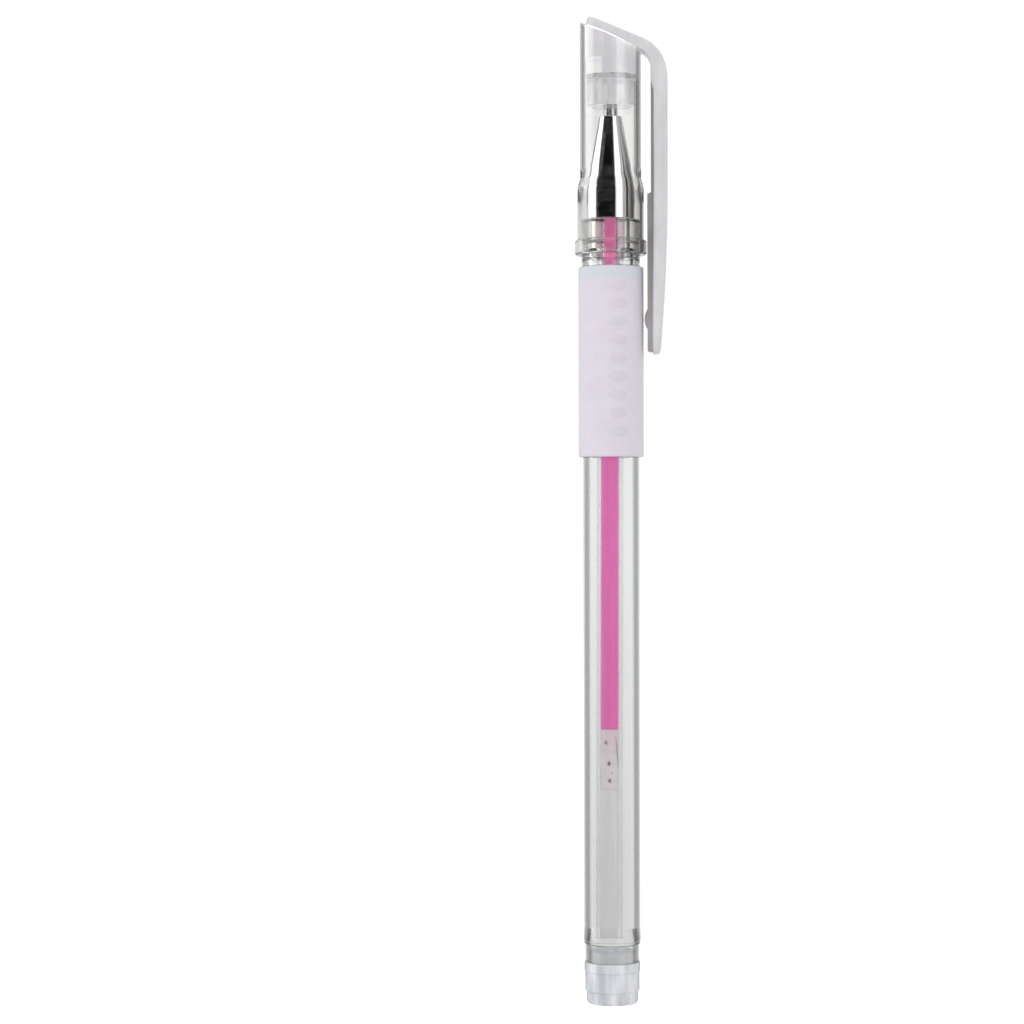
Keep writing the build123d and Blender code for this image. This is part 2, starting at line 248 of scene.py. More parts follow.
class Look:
    """A node material around one Principled shader."""

    def __init__(self, name, color, roughness, **sockets):
        self.material = bpy.data.materials.new(name)
        self.material.use_nodes = True
        self.nodes = self.material.node_tree.nodes
        self.links = self.material.node_tree.links
        self.shader = self.nodes["Principled BSDF"]
        self.place = self.nodes.new("ShaderNodeTexCoord").outputs["Object"]
        self.shader.inputs["Base Color"].default_value = (*color, 1)
        self.shader.inputs["Roughness"].default_value = roughness
        for socket, value in sockets.items():
            self.shader.inputs[socket.replace("_", " ")].default_value = value

    def noise(self, size_mm, detail=3, stretch=(1, 1, 1)):
        """Noise whose features are about this many millimetres wide, drawn out by stretch."""
        scale = self.nodes.new("ShaderNodeMapping")
        scale.inputs["Scale"].default_value = [1 / (MM * size_mm * s) for s in stretch]
        self.links.new(self.place, scale.inputs["Vector"])
        noise = self.nodes.new("ShaderNodeTexNoise")
        noise.inputs["Scale"].default_value = 1
        noise.inputs["Detail"].default_value = detail
        self.links.new(scale.outputs["Vector"], noise.inputs["Vector"])
        return noise.outputs["Fac"]

    def spread(self, value, low, high, start=0.3, end=0.7):
        """Maps the range start to end of a value onto low to high."""
        spread = self.nodes.new("ShaderNodeMapRange")
        spread.inputs["From Min"].default_value = start
        spread.inputs["From Max"].default_value = end
        spread.inputs["To Min"].default_value = low
        spread.inputs["To Max"].default_value = high
        self.links.new(value, spread.inputs["Value"])
        return spread.outputs["Result"]

    def ramp(self, value, *stops):
        """A colour ramp over a value, from (position, colour) stops."""
        ramp = self.nodes.new("ShaderNodeValToRGB")
        elements = ramp.color_ramp.elements
        for i, (position, color) in enumerate(stops):
            element = elements[i] if i < 2 else elements.new(position)
            element.position = position
            element.color = (*color, 1)
        self.links.new(value, ramp.inputs["Fac"])
        return ramp.outputs["Color"]

    def facing(self):
        """0 where the surface faces the viewer and 1 at its outline."""
        weight = self.nodes.new("ShaderNodeLayerWeight")
        weight.inputs["Blend"].default_value = 0.5
        return weight.outputs["Facing"]

    def height(self):
        """Height above the foot of the pen, in metres."""
        split = self.nodes.new("ShaderNodeSeparateXYZ")
        self.links.new(self.place, split.inputs["Vector"])
        return split.outputs["Z"]

    def radius(self):
        """Distance from the pen's axis, in metres."""
        flat = self.nodes.new("ShaderNodeVectorMath")
        flat.operation = "MULTIPLY"
        flat.inputs[1].default_value = (1, 1, 0)
        self.links.new(self.place, flat.inputs[0])
        length = self.nodes.new("ShaderNodeVectorMath")
        length.operation = "LENGTH"
        self.links.new(flat.outputs["Vector"], length.inputs[0])
        return length.outputs["Value"]

    def along(self, direction):
        """The dot product of a place, in metres, and a direction."""
        dot = self.nodes.new("ShaderNodeVectorMath")
        dot.operation = "DOT_PRODUCT"
        dot.inputs[1].default_value = direction
        self.links.new(self.place, dot.inputs[0])
        return dot.outputs["Value"]

    def mix(self, share, first, second, blend="MIX"):
        """A mix of two colours, each a socket or three numbers, by a share or its socket."""
        mix = self.nodes.new("ShaderNodeMix")
        mix.data_type = "RGBA"
        mix.blend_type = blend
        sockets = [s for s in mix.inputs if s.type == "RGBA"]
        for socket, value in zip(sockets, (first, second)):
            if isinstance(value, bpy.types.NodeSocket):
                self.links.new(value, socket)
            else:
                socket.default_value = (*value, 1)
        if isinstance(share, bpy.types.NodeSocket):
            self.links.new(share, mix.inputs["Factor"])
        else:
            mix.inputs["Factor"].default_value = share
        return next(s for s in mix.outputs if s.type == "RGBA")

    def bump(self, value, depth_mm):
        """Dents the surface by a value, chained after any bump made before."""
        bump = self.nodes.new("ShaderNodeBump")
        bump.inputs["Strength"].default_value = 1.0
        bump.inputs["Distance"].default_value = depth_mm * MM
        self.links.new(value, bump.inputs["Height"])
        before = self.shader.inputs["Normal"].links
        if before:
            self.links.new(before[0].from_socket, bump.inputs["Normal"])
        self.links.new(bump.outputs["Normal"], self.shader.inputs["Normal"])

    def band(self, low_mm, high_mm, low=0.0, high=1.0):
        """Runs from low to high between two heights."""
        return self.spread(self.height(), low, high, low_mm * MM, high_mm * MM)

    def set(self, socket, value):
        self.links.new(value, self.shader.inputs[socket])


def clear_plastic(name, tint, deep_tint, deep_span, edge, painted_edge_span, outer_r, scuff):
    """Clear moulded styrene: a grey band painted along its outline as painted shade, with faint
    scuffs and draw lines.

    painted_edge_span is the range of facing that is painted grey as shade, on the outer wall alone.
    deep_tint darkens the plastic more from the first to the second height of deep_span."""
    edge_start, edge_end = painted_edge_span
    fade, skin, skin_fade = 0.14, 0.35, 0.10
    look = Look(name, tint, 0.03, Transmission_Weight=1.0, IOR=1.49, Specular_IOR_Level=0.5)
    # Painted shade: the outer wall is coloured grey in a band of facing, so the outline shows
    # darker.
    painted_rim_shade = look.ramp(
        look.facing(),
        (0.0, tint),
        (1.0, tint),
        (edge_start - fade, tint),
        (edge_start, edge),
        (edge_end, edge),
        (edge_end + fade, tint),
    )
    skin_r = outer_r - skin
    outside = look.spread(look.radius(), 0.0, 1.0, (skin_r - skin_fade) * MM, skin_r * MM)
    wall = look.mix(outside, tint, painted_rim_shade)
    look.set("Base Color", look.mix(look.band(*deep_span), wall, deep_tint, "MULTIPLY"))
    look.set("Roughness", look.spread(look.noise(1.6, 4, (1, 1, 6)), 0.012, scuff))
    look.bump(look.noise(2.5, 2, (1, 1, 40)), 0.006)
    return look


def barrel_look():
    look = clear_plastic(
        "clear_barrel",
        tint=(0.955, 0.96, 0.945),
        deep_tint=(0.895, 0.895, 0.89),
        deep_span=(70, 20),
        # edge is the grey painted along the outline as shade.
        edge=(0.17, 0.17, 0.165),
        painted_edge_span=(0.42, 0.64),
        outer_r=BARREL_R,
        scuff=0.06,
    )
    return look.material


def cap_look():
    """The cap's plastic, with a pale glow painted on its slanted end as painted light."""
    look = clear_plastic(
        "clear_cap",
        tint=(0.965, 0.965, 0.945),
        deep_tint=(0.90, 0.89, 0.89),
        deep_span=(126, 123),
        # edge is the grey painted along the outline as shade.
        edge=(0.68, 0.68, 0.66),
        painted_edge_span=(0.52, 0.74),
        outer_r=CAP_R,
        scuff=0.07,
    )
    # Painted light: the slanted end face glows pale though nothing lights it.
    reach = look.along((SEAT_FALL, 0, 1))
    glowing_end_face = look.spread(reach, 0.0, 1.0, (SEAT_Z - 0.06) * MM, (SEAT_Z - 0.02) * MM)
    look.set("Emission Color", look.mix(glowing_end_face, (0, 0, 0), (0.50, 0.51, 0.51)))
    look.shader.inputs["Emission Strength"].default_value = 1.0
    return look.material


def pearl_look(name, low, high):
    """The cap head and clip: pearly plastic with a slow mottle and handling scuffs."""
    look = Look(
        name,
        low,
        0.30,
        Subsurface_Weight=0.25,
        Subsurface_Scale=0.0012,
        Coat_Weight=0.35,
        Coat_Roughness=0.12,
        IOR=1.49,
    )
    mottle = look.noise(2.2, 4, (1, 1, 3))
    look.set("Base Color", look.ramp(mottle, (0.3, low), (0.7, high)))
    look.set("Roughness", look.spread(look.noise(1.2, 4), 0.26, 0.38))
    look.bump(look.noise(0.8, 3), 0.003)
    return look.material


def insert_look():
    """The plug in the cap: the same plastic, partly translucent, with a faint glow painted on as
    painted light.
    """
    # Painted light: the emission makes the insert glow faintly.
    look = Look(
        "pearl_insert",
        (0.78, 0.78, 0.80),
        0.16,
        Subsurface_Weight=0.5,
        Subsurface_Scale=0.002,
        Transmission_Weight=0.3,
        IOR=1.49,
        Emission_Color=(0.86, 0.86, 0.92, 1),
        Emission_Strength=0.22,
    )
    streak = look.noise(1.5, 3, (1, 1, 7))
    look.set("Base Color", look.ramp(streak, (0.35, (0.76, 0.76, 0.78)), (0.65, (0.95, 0.95, 0.96))))
    look.set("Roughness", look.spread(look.noise(0.9, 3), 0.12, 0.22))
    look.bump(look.noise(2.0, 2), 0.01)
    return look.material


def grip_look():
    """Soft lavender rubber: a fine matt grain, a slow mottle, raised ovals painted darker as shade
    and a bluish band at the top painted on as light.
    """
    look = Look(
        "grip_rubber",
        (0.75, 0.69, 0.76),
        0.55,
        Subsurface_Weight=0.2,
        Subsurface_Scale=0.0008,
        Sheen_Weight=0.15,
        Sheen_Roughness=0.5,
        IOR=1.45,
    )
    mottle = look.ramp(look.noise(3.0, 4), (0.3, (0.735, 0.675, 0.745)), (0.7, (0.77, 0.72, 0.78)))
    # Painted light: a cooler bluish tint over the top of the grip stands for the light along its top
    # end.
    painted_cool_band = look.band(GRIP_Z1 - 2.6, GRIP_Z1 - 1.6)
    # Painted shade: the raised ovals are coloured darker, standing for the shade on their relief.
    raised = look.spread(look.radius(), 0.0, 1.0, (GRIP_R + 0.01) * MM, (GRIP_R + 0.10) * MM)
    painted_oval_shade = look.mix(raised, mottle, (0.715, 0.66, 0.725))
    look.set("Base Color", look.mix(painted_cool_band, painted_oval_shade, (0.68, 0.70, 0.74)))
    look.set("Roughness", look.spread(look.noise(0.35, 5), 0.45, 0.66))
    look.bump(look.noise(0.12, 3), 0.008)
    return look.material


def plug_look():
    """Frosted bluish plastic, rougher at the foot where it is set down; it glows as painted light,
    most on the spigot, with a painted dark outline as shade and streaks partly painted as
    highlights.
    """
    look = Look(
        "frosted_plug",
        (0.80, 0.83, 0.86),
        0.35,
        Subsurface_Weight=0.4,
        Subsurface_Scale=0.0015,
        IOR=1.49,
        Emission_Strength=0.5,
    )
    cloud = look.noise(1.9, 2, (1, 1, 4))
    # Streaks along the plug: partly the frosted plastic's mottle, partly painted highlights.
    body = look.ramp(cloud, (0.36, (0.48, 0.50, 0.525)), (0.64, (0.76, 0.765, 0.775)))
    # Painted shade: the outline is darkened by facing.
    painted_rim_shade = look.spread(look.facing(), 0.0, 0.75, 0.55, 0.8)
    look.set("Base Color", look.mix(painted_rim_shade, body, (0.20, 0.205, 0.21)))
    # Painted light: the spigot glows brighter than the cup below it.
    spigot_glow = look.band(PLUG_TOP_Z - 1.8, PLUG_TOP_Z - 1.7)
    look.set("Emission Color", look.mix(spigot_glow, (0.10, 0.11, 0.125), (0.48, 0.51, 0.56)))
    wear = look.band(0.0, 0.8, 0.55, 0.30)
    grain = look.spread(look.noise(0.8, 3), 0.9, 1.1)
    product = look.nodes.new("ShaderNodeMath")
    product.operation = "MULTIPLY"
    look.links.new(wear, product.inputs[0])
    look.links.new(grain, product.inputs[1])
    look.set("Roughness", product.outputs["Value"])
    look.bump(look.noise(2.5, 1), 0.004)
    return look.material


def chrome_look():
    """Bright plated metal with fine turning lines and a few fingerprints."""
    look = Look("cone_chrome", (0.86, 0.86, 0.87), 0.07, Metallic=1.0)
    smear = look.noise(1.8, 4)
    look.set("Base Color", look.ramp(smear, (0.3, (0.82, 0.82, 0.84)), (0.7, (0.90, 0.90, 0.90))))
    look.set("Roughness", look.spread(smear, 0.04, 0.12))
    look.bump(look.noise(0.10, 2, (60, 60, 1)), 0.0008)
    return look.material


def steel_look():
    """Turned steel, stained by ink and lined round its axis."""
    look = Look("tip_steel", (0.62, 0.61, 0.60), 0.2, Metallic=1.0)
    stain = look.noise(0.35, 3)
    look.set("Base Color", look.ramp(stain, (0.3, (0.52, 0.51, 0.50)), (0.7, (0.70, 0.69, 0.67))))
    look.set("Roughness", look.spread(stain, 0.14, 0.32))
    look.bump(look.noise(0.05, 2, (40, 40, 1)), 0.001)
    return look.material


def ball_look():
    """Ground carbide, finely grained."""
    look = Look("carbide_ball", (0.42, 0.42, 0.44), 0.12, Metallic=1.0)
    grain = look.noise(0.08, 3)
    look.set("Base Color", look.ramp(grain, (0.3, (0.36, 0.36, 0.38)), (0.7, (0.48, 0.47, 0.50))))
    look.set("Roughness", look.spread(grain, 0.08, 0.2))
    return look.material


def tube_look():
    """Milky polypropylene tubing with faint lines along its draw."""
    look = Look("tube_plastic", (0.95, 0.945, 0.96), 0.08, Transmission_Weight=0.95, IOR=1.46)
    lines = look.noise(0.6, 3, (1, 1, 60))
    look.set("Base Color", look.ramp(lines, (0.38, (0.92, 0.91, 0.945)), (0.62, (1.0, 0.995, 1.0))))
    look.set("Roughness", look.spread(look.noise(0.5, 4, (1, 1, 12)), 0.04, 0.16))
    look.bump(look.noise(0.9, 2, (1, 1, 30)), 0.006)
    return look.material


def holder_look():
    """The tip holder: translucent plastic that the ink shows through."""
    look = Look("holder_plastic", (0.92, 0.90, 0.92), 0.14, Transmission_Weight=0.9, IOR=1.46)
    cloud = look.ramp(look.noise(0.8, 3), (0.3, (0.88, 0.86, 0.89)), (0.7, (0.96, 0.95, 0.96)))
    tinge = look.band(CONE_Z0 - 0.5, CONE_Z0 + 1.5, 0.8, 0.0)
    look.set("Base Color", look.mix(tinge, cloud, (0.96, 0.66, 0.83)))
    look.set("Roughness", look.spread(look.noise(0.5, 3), 0.08, 0.2))
    return look.material


def ink_look(name, deep, bright, glow, strength):
    """Gel ink with slow streaks along the tube, stale where it meets the grease, and a glow painted
    on as painted light.
    """
    # Painted light: the ink glows in the glow colour at the given strength.
    look = Look(
        name,
        bright,
        0.28,
        Subsurface_Weight=0.3,
        Subsurface_Scale=0.0006,
        Sheen_Weight=0.5,
        Sheen_Roughness=0.35,
        Sheen_Tint=(1.0, 0.75, 0.88, 1),
        IOR=1.36,
        Emission_Color=(*glow, 1),
        Emission_Strength=strength,
    )
    streak = look.noise(0.7, 3, (1, 1, 9))
    body = look.ramp(streak, (0.3, deep), (0.7, bright))
    stale = look.band(INK_Z0, INK_Z0 + 0.5, 0.75, 0.0)
    look.set("Base Color", look.mix(stale, body, (0.42, 0.13, 0.30)))
    look.set("Roughness", look.spread(streak, 0.2, 0.38))
    return look.material


def grease_look():
    """Clear follower grease, tinged by the ink near its top, with a faint pink glow painted on as
    painted light.
    """
    # Painted light: a faint pinkish emission.
    look = Look(
        "grease",
        (0.95, 0.89, 0.90),
        0.10,
        Transmission_Weight=0.9,
        IOR=1.36,
        Emission_Color=(1.0, 0.85, 0.88, 1),
        Emission_Strength=0.06,
    )
    cloud = look.ramp(look.noise(0.8, 4), (0.35, (0.94, 0.88, 0.89)), (0.65, (0.98, 0.96, 0.96)))
    tinge = look.band(GREASE_Z1 - 6, GREASE_Z1, 0.0, 0.55)
    look.set("Base Color", look.mix(tinge, cloud, (0.93, 0.62, 0.75)))
    look.set("Roughness", look.spread(look.noise(0.5, 3), 0.05, 0.2))
    look.bump(look.noise(0.9, 3), 0.02)
    return look.material


def speck_look():
    """Ink that has crept into the grease."""
    look = Look("ink_specks", (0.20, 0.04, 0.10), 0.35)
    stain = look.noise(0.2, 2)
    look.set("Base Color", look.ramp(stain, (0.3, (0.14, 0.03, 0.07)), (0.7, (0.34, 0.06, 0.18))))
    look.set("Roughness", look.spread(look.noise(0.15, 2), 0.25, 0.5))
    return look.material


def seal_look():
    """The inner cap: soft greyish white plastic, streaked, with a faint glow painted on as light and
    a flange painted darker and dimmer as shade.
    """
    look = Look(
        "seal_plastic",
        (0.80, 0.80, 0.82),
        0.2,
        Subsurface_Weight=0.4,
        Subsurface_Scale=0.001,
        Transmission_Weight=0.6,
        IOR=1.45,
        Emission_Color=(0.86, 0.86, 0.90, 1),
        Emission_Strength=0.18,
    )
    streak = look.noise(0.9, 3, (1, 1, 8))
    cloud = look.ramp(streak, (0.35, (0.70, 0.70, 0.72)), (0.65, (0.97, 0.97, 0.98)))
    shaded = look.ramp(look.noise(1.6, 2), (0.42, (0.45, 0.45, 0.47)), (0.58, (0.85, 0.85, 0.87)))
    flange = look.band(INNER_CAP_Z1 - 0.85, INNER_CAP_Z1 - 0.75)
    look.set("Base Color", look.mix(flange, cloud, shaded))
    # Painted light and shade: the glow is dimmed on the flange.
    look.set("Emission Color", look.mix(flange, (0.86, 0.86, 0.90), (0.30, 0.30, 0.32)))
    look.set("Roughness", look.spread(look.noise(1.0, 3), 0.12, 0.25))
    look.bump(look.noise(1.2, 2), 0.008)
    return look.material


def pad_look():
    """The pad that the ball meets: matt grey rubber."""
    look = Look("pad_rubber", (0.55, 0.53, 0.54), 0.7)
    crumb = look.noise(0.3, 4)
    look.set("Base Color", look.ramp(crumb, (0.3, (0.50, 0.48, 0.50)), (0.7, (0.60, 0.58, 0.60))))
    look.set("Roughness", look.spread(look.noise(0.2, 3), 0.6, 0.85))
    look.bump(look.noise(0.08, 2), 0.004)
    return look.material


# ---------------------------------------------------------------- pieces

def piece(name, mesh, material, body=None, replaced=()):
    """A shown piece: its material, the CAD body it rides and the nodes it replaces."""
    obj = bpy.data.objects.new(name, mesh)
    bpy.context.scene.collection.objects.link(obj)
    mesh.name = name
    mesh.materials.append(material)
    if body:
        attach(obj, body)
    if replaced:
        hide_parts(*replaced)
    return obj


def refill_lean():
    """The refill's tilt about the nose cone's hole, from the axis that its ink moves along."""
    axis = joint("ink_use")["axis"]
    pivot = Matrix.Translation((0, 0, CONE_TIP_Z * MM))
    return pivot @ Matrix.Rotation(math.atan2(axis[0], axis[2]), 4, "Y") @ pivot.inverted()


def leaned(mesh):
    """A mesh of the refill, tilted as the refill lies in the barrel."""
    mesh.transform(refill_lean())
    return mesh


def barrel_piece():
    """The clear tube, from its rear rim up to the spigot that the cone screws on."""
    groove = 0.10
    outline = rounded(
        [
            (REAR_BORE_R, BARREL_Z0, 0.05),
            (REAR_R, BARREL_Z0, 0.10),
            (REAR_R, 9.00, 0.06),
            (BARREL_R, 9.18, 0.12),
            (BARREL_R, GRIP_Z0 - 0.02, 0.05),
            (GRIP_SEAT_R, GRIP_Z0 - 0.02),
            (GRIP_SEAT_R, GRIP_Z1 + 0.02),
            (NECK_R, GRIP_Z1 + 0.02, 0.08),
            (NECK_R, 112.78, 0.04),
            (NECK_R - groove, 112.90, 0.04),
            (NECK_R, 113.02, 0.04),
            (NECK_R, 115.38, 0.04),
            (NECK_R - groove, 115.50, 0.04),
            (NECK_R, 115.62, 0.04),
            (NECK_R, NECK_TOP_Z, 0.18),
            (SPIGOT_R, NECK_TOP_Z, 0.05),
            (SPIGOT_R, SPIGOT_TOP_Z, 0.10),
            (FEED_BORE_R, SPIGOT_TOP_Z, 0.06),
            (FEED_BORE_R, 114.40, 0.15),
            (BARREL_BORE_R, 113.60, 0.15),
            (BARREL_BORE_R, 11.60, 1.50),
            (REAR_BORE_R, 9.40, 1.00),
        ]
    )
    mesh = lathe("barrel_tube", outline)
    return piece("barrel_tube", mesh, barrel_look(), "barrel", ["barrel"])


def grip_rise(angle, z):
    """How far the grip's ovals stand out at a place on it, as a share of their full rise."""
    columns, rows, pitch, first_deg, middle_z = 2, 9, 2.75, -75.0, 97.80
    half_width, half_height = 1.90, 1.05
    column = round((math.degrees(angle) - first_deg) / (360 / columns))
    across = math.radians(math.degrees(angle) - first_deg - column * 360 / columns)
    row = min(max(round((z - middle_z) / pitch), -(rows // 2)), rows // 2)
    reach = math.hypot(across * GRIP_R / half_width, (z - middle_z - row * pitch) / half_height)
    return eased((1 - reach) / 0.5)


def grip_piece():
    """The rubber sleeve as a fine grid, so that its soft ovals are real relief."""
    around, along, end_steps, end_round = 216, 250, 5, 0.3
    inner_r = GRIP_SEAT_R + 0.02
    rise = GRIP_OUT_R - GRIP_R
    straight = GRIP_Z1 - GRIP_Z0 - 2 * end_round

    def end(k, z, way):
        """A point of the quarter round at an end, from the rim at k = 0 to the wall."""
        angle = math.pi / 2 * k / end_steps
        drawn_in = end_round * (1 - math.sin(angle))
        return GRIP_R - drawn_in, z + way * end_round * (1 - math.cos(angle))

    profile = [end(k, GRIP_Z0, 1) for k in range(end_steps + 1)]
    profile += [(GRIP_R, GRIP_Z0 + end_round + straight * k / along) for k in range(1, along)]
    profile += [end(end_steps - k, GRIP_Z1, -1) for k in range(end_steps + 1)]
    profile += [(inner_r, GRIP_Z1), (inner_r, GRIP_Z0)]

    build = bmesh.new()
    rings = []
    for r, z in profile:
        ring = []
        for k in range(around):
            angle = 2 * math.pi * k / around
            out = r + rise * grip_rise(angle, z) if r == GRIP_R else r
            ring.append(build.verts.new((out * math.cos(angle), out * math.sin(angle), z)))
        rings.append(ring)
    for lower, upper in zip(rings, rings[1:] + rings[:1]):
        bridge(build, lower, upper)
    mesh = to_mesh("grip_rubber", build)
    return piece("grip_rubber", mesh, grip_look(), "barrel", ["grip_sleeve"])


def plug_piece():
    """The end plug: a cup with a bead that snaps into the barrel, and a spigot."""
    outline = rounded(
        [
            (0, 0),
            (3.90, 0, 0.55),
            (3.90, 1.95, 0.06),
            (4.12, 1.98, 0.12),
            (4.12, 4.85, 0.05),
            (PLUG_BEAD_R, 4.92, 0.07),
            (PLUG_BEAD_R, 6.22, 0.07),
            (4.10, 6.30, 0.03),
            (3.50, 6.30, 0.06),
            (3.50, PLUG_TOP_Z, 0.25),
            (2.75, PLUG_TOP_Z, 0.12),
            (2.75, 2.50, 0.45),
            (0, 2.50),
        ]
    )
    mesh = lathe("plug_cup", outline)
    return piece("plug_cup", mesh, plug_look(), "end_plug", ["end_plug"])


def cone_piece():
    """The plated nose cone, hollow, with a hole for the tip."""
    outline = rounded(
        [
            (3.14, CONE_Z0, 0.05),
            (CONE_R, CONE_Z0, 0.12),
            (CONE_R, 123.50, 1.60),
            (1.68, CONE_TIP_Z, 0.18),
            (1.12, CONE_TIP_Z, 0.05),
            (1.12, 133.40),
            (1.67, 132.85),
            (2.60, 124.75),
            (3.14, 124.20),
        ],
        steps=8,
    )
    mesh = lathe("cone_shell", outline, 192)
    return piece("cone_shell", mesh, chrome_look(), "nose_cone", ["nose_cone"])


def tubing_piece():
    """The ink tube, open at its rear end."""
    tube_z0 = 10.20
    outline = rounded(
        [
            (TUBE_BORE_R, tube_z0, 0.05),
            (TUBE_OUTER_R, tube_z0, 0.08),
            (TUBE_OUTER_R, TUBE_TOP_Z, 0.08),
            (TUBE_BORE_R, TUBE_TOP_Z, 0.05),
        ]
    )
    mesh = leaned(lathe("refill_tubing", outline))
    return piece("refill_tubing", mesh, tube_look(), "refill", ["refill_tube"])


def holder_piece():
    """The holder: a stem in the ink tube, a flange under the cone and a socket for the tip."""
    outline = rounded(
        [
            (0.95, FEED_Z0, 0.03),
            (INK_COLUMN_R, FEED_Z0, 0.06),
            (INK_COLUMN_R, TUBE_TOP_Z + 0.02),
            (2.20, TUBE_TOP_Z + 0.02, 0.25),
            (2.20, 123.45),
            (2.90, 123.45, 0.08),
            (2.90, 124.05, 0.08),
            (1.95, 124.05),
            (1.45, 127.00, 0.20),
            (1.45, 132.70, 0.12),
            (1.07, 132.70, 0.04),
            (1.07, FEED_Z1),
            (0.95, FEED_Z1),
        ]
    )
    mesh = leaned(lathe("nib_holder", outline, 96))
    return piece("nib_holder", mesh, holder_look(), "refill", ["tip_holder"])


def tip_piece():
    """The metal tip: a thick body, a thinner neck and a rim that holds the ball."""
    outline = rounded(
        [
            (0.25, FEED_Z1 + 0.02),
            (1.05, FEED_Z1 + 0.02, 0.08),
            (1.05, 136.35, 0.10),
            (0.70, 136.70, 0.04),
            (0.60, 136.72, 0.04),
            (0.60, 138.00, 0.10),
            (0.50, 138.82, 0.03),
            (0.43, 138.84),
            (0.42, 138.55),
            (0.25, 138.35),
        ]
    )
    mesh = leaned(lathe("nib_point", outline, 96))
    return piece("nib_point", mesh, steel_look(), "refill", ["writing_tip"])


def feed_piece():
    """The ink in the holder's channel, paler for the plastic round it."""
    radius, low, high = 0.93, FEED_Z0 + 0.02, FEED_Z1 - 0.02
    outline = rounded([(0, low), (radius, low, 0.08), (radius, high, 0.08), (0, high)])
    mesh = leaned(lathe("feed_ink", outline, 64))
    deep, bright, glow = (0.60, 0.22, 0.42), (0.70, 0.30, 0.50), (0.88, 0.30, 0.57)
    # The ink's painted glow is stronger here than in the column.
    material = ink_look("feed_pink", deep, bright, glow, 0.85)
    return piece("feed_ink", mesh, material, "refill", ["ink_feed"])


def ink_piece():
    """The ink column, with a dished end where it meets the grease.  It shortens as it is used."""
    length = FEED_Z0 - INK_COLUMN_Z0
    rear = dished_end(INK_COLUMN_R, INK_COLUMN_Z0, 0.30)
    side = [(INK_COLUMN_R, INK_COLUMN_Z0 + length * k / 60) for k in range(1, 61)]
    outline = rear + side + [(0, FEED_Z0)]
    mesh = leaned(lathe("ink_gel", outline, 96))
    deep, bright, glow = (0.80, 0.05, 0.42), (0.90, 0.075, 0.50), (1.0, 0.03, 0.50)
    material = ink_look("pink_ink", deep, bright, glow, 0.46)
    obj = piece("ink_gel", mesh, material, "refill", ["ink_column"])
    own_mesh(obj)
    return obj


def grease_piece():
    """The grease plug behind the ink, with its dished rear end."""
    radius, low, high = 1.37, 32.30, 41.58
    rear = dished_end(radius, low, 0.18)
    side = [(radius, low + (high - low) * k / 20) for k in range(1, 20)]
    front = [(radius * k / 10, high - 0.02) for k in range(10, -1, -1)]
    mesh = leaned(lathe("grease_plug", rear + side + front, 96))
    return piece("grease_plug", mesh, grease_look(), "follower", ["follower_grease"])


def add_fleck(build, x, z, size):
    """A blob of ink, uneven and longer than it is wide, in front of the tube's middle."""
    made = bmesh.ops.create_icosphere(build, subdivisions=3, radius=size)["verts"]
    for vert in made:
        swell = 1 + 0.35 * math.sin(3.6 * vert.co.x / size + z) * math.cos(3 * vert.co.z / size + x)
        vert.co = Vector((vert.co.x * 0.8 * swell, vert.co.y * 0.6, vert.co.z * 1.25 * swell))
        vert.co += Vector((x, random.uniform(-1e-4, 1e-4) - 0.55, z))


def add_thread(build):
    """A thin thread of ink that runs down to the tube's wall, thickest halfway."""
    steps, sides = 24, 8
    start_x, start_z, wall_x, depth_y = 0.72, 40.6, 1.22, -0.25
    drift, drop = 0.55, 6.9
    rings = []
    for k in range(steps + 1):
        x = min(start_x + drift * k / steps, wall_x)
        z = start_z - drop * k / steps
        size = 0.02 + 0.06 * math.sin(math.pi * k / steps)
        ring = []
        for i in range(sides):
            angle = 2 * math.pi * i / sides
            place = (x + size * math.cos(angle), depth_y + size * math.sin(angle), z)
            ring.append(build.verts.new(place))
        rings.append(ring)
    for near, far in zip(rings, rings[1:]):
        bridge(build, near, far)
    build.faces.new(rings[0])
    build.faces.new(rings[-1])


def fleck_piece():
    """Ink in the grease: three flecks in a row, two small ones and a thread."""
    build = bmesh.new()
    add_fleck(build, -0.42, 39.6, 0.26)
    add_fleck(build, -0.02, 36.4, 0.24)
    add_fleck(build, 0.05, 33.8, 0.28)
    add_fleck(build, 0.62, 38.2, 0.12)
    add_fleck(build, 0.35, 35.0, 0.10)
    add_thread(build)
    mesh = leaned(to_mesh("grease_flecks", build))
    return piece("grease_flecks", mesh, speck_look(), "follower")


def cap_tube_piece():
    """The clear cap: rim bead, wide skirt, and a slanted end that the head closes."""
    top = 200.0  # stands for the slanted end until lift gives its height
    bead_top = CAP_Z0 + 2.30
    outline = rounded(
        [
            (CAP_SKIRT_BORE_R, CAP_Z0, 0.12),
            (CAP_BEAD_R, CAP_Z0, 0.35),
            (CAP_BEAD_R, bead_top, 0.35),
            (CAP_SKIRT_R, bead_top, 0.10),
            (CAP_SKIRT_R, CAP_STEP_Z - 0.75, 0.9),
            (CAP_R, CAP_STEP_Z + 0.45, 0.9),
            (CAP_R, top),
            (CAP_BORE_R, top),
            (CAP_BORE_R, 126.50, 2.0),
            (CAP_SKIRT_BORE_R, 121.50, 2.0),
        ]
    )
    mesh = lathe("cap_glass", outline, lift=lambda x, z: seat_height(x) if z == top else z)
    return piece("cap_glass", mesh, cap_look(), "cap", ["cap_tube"])


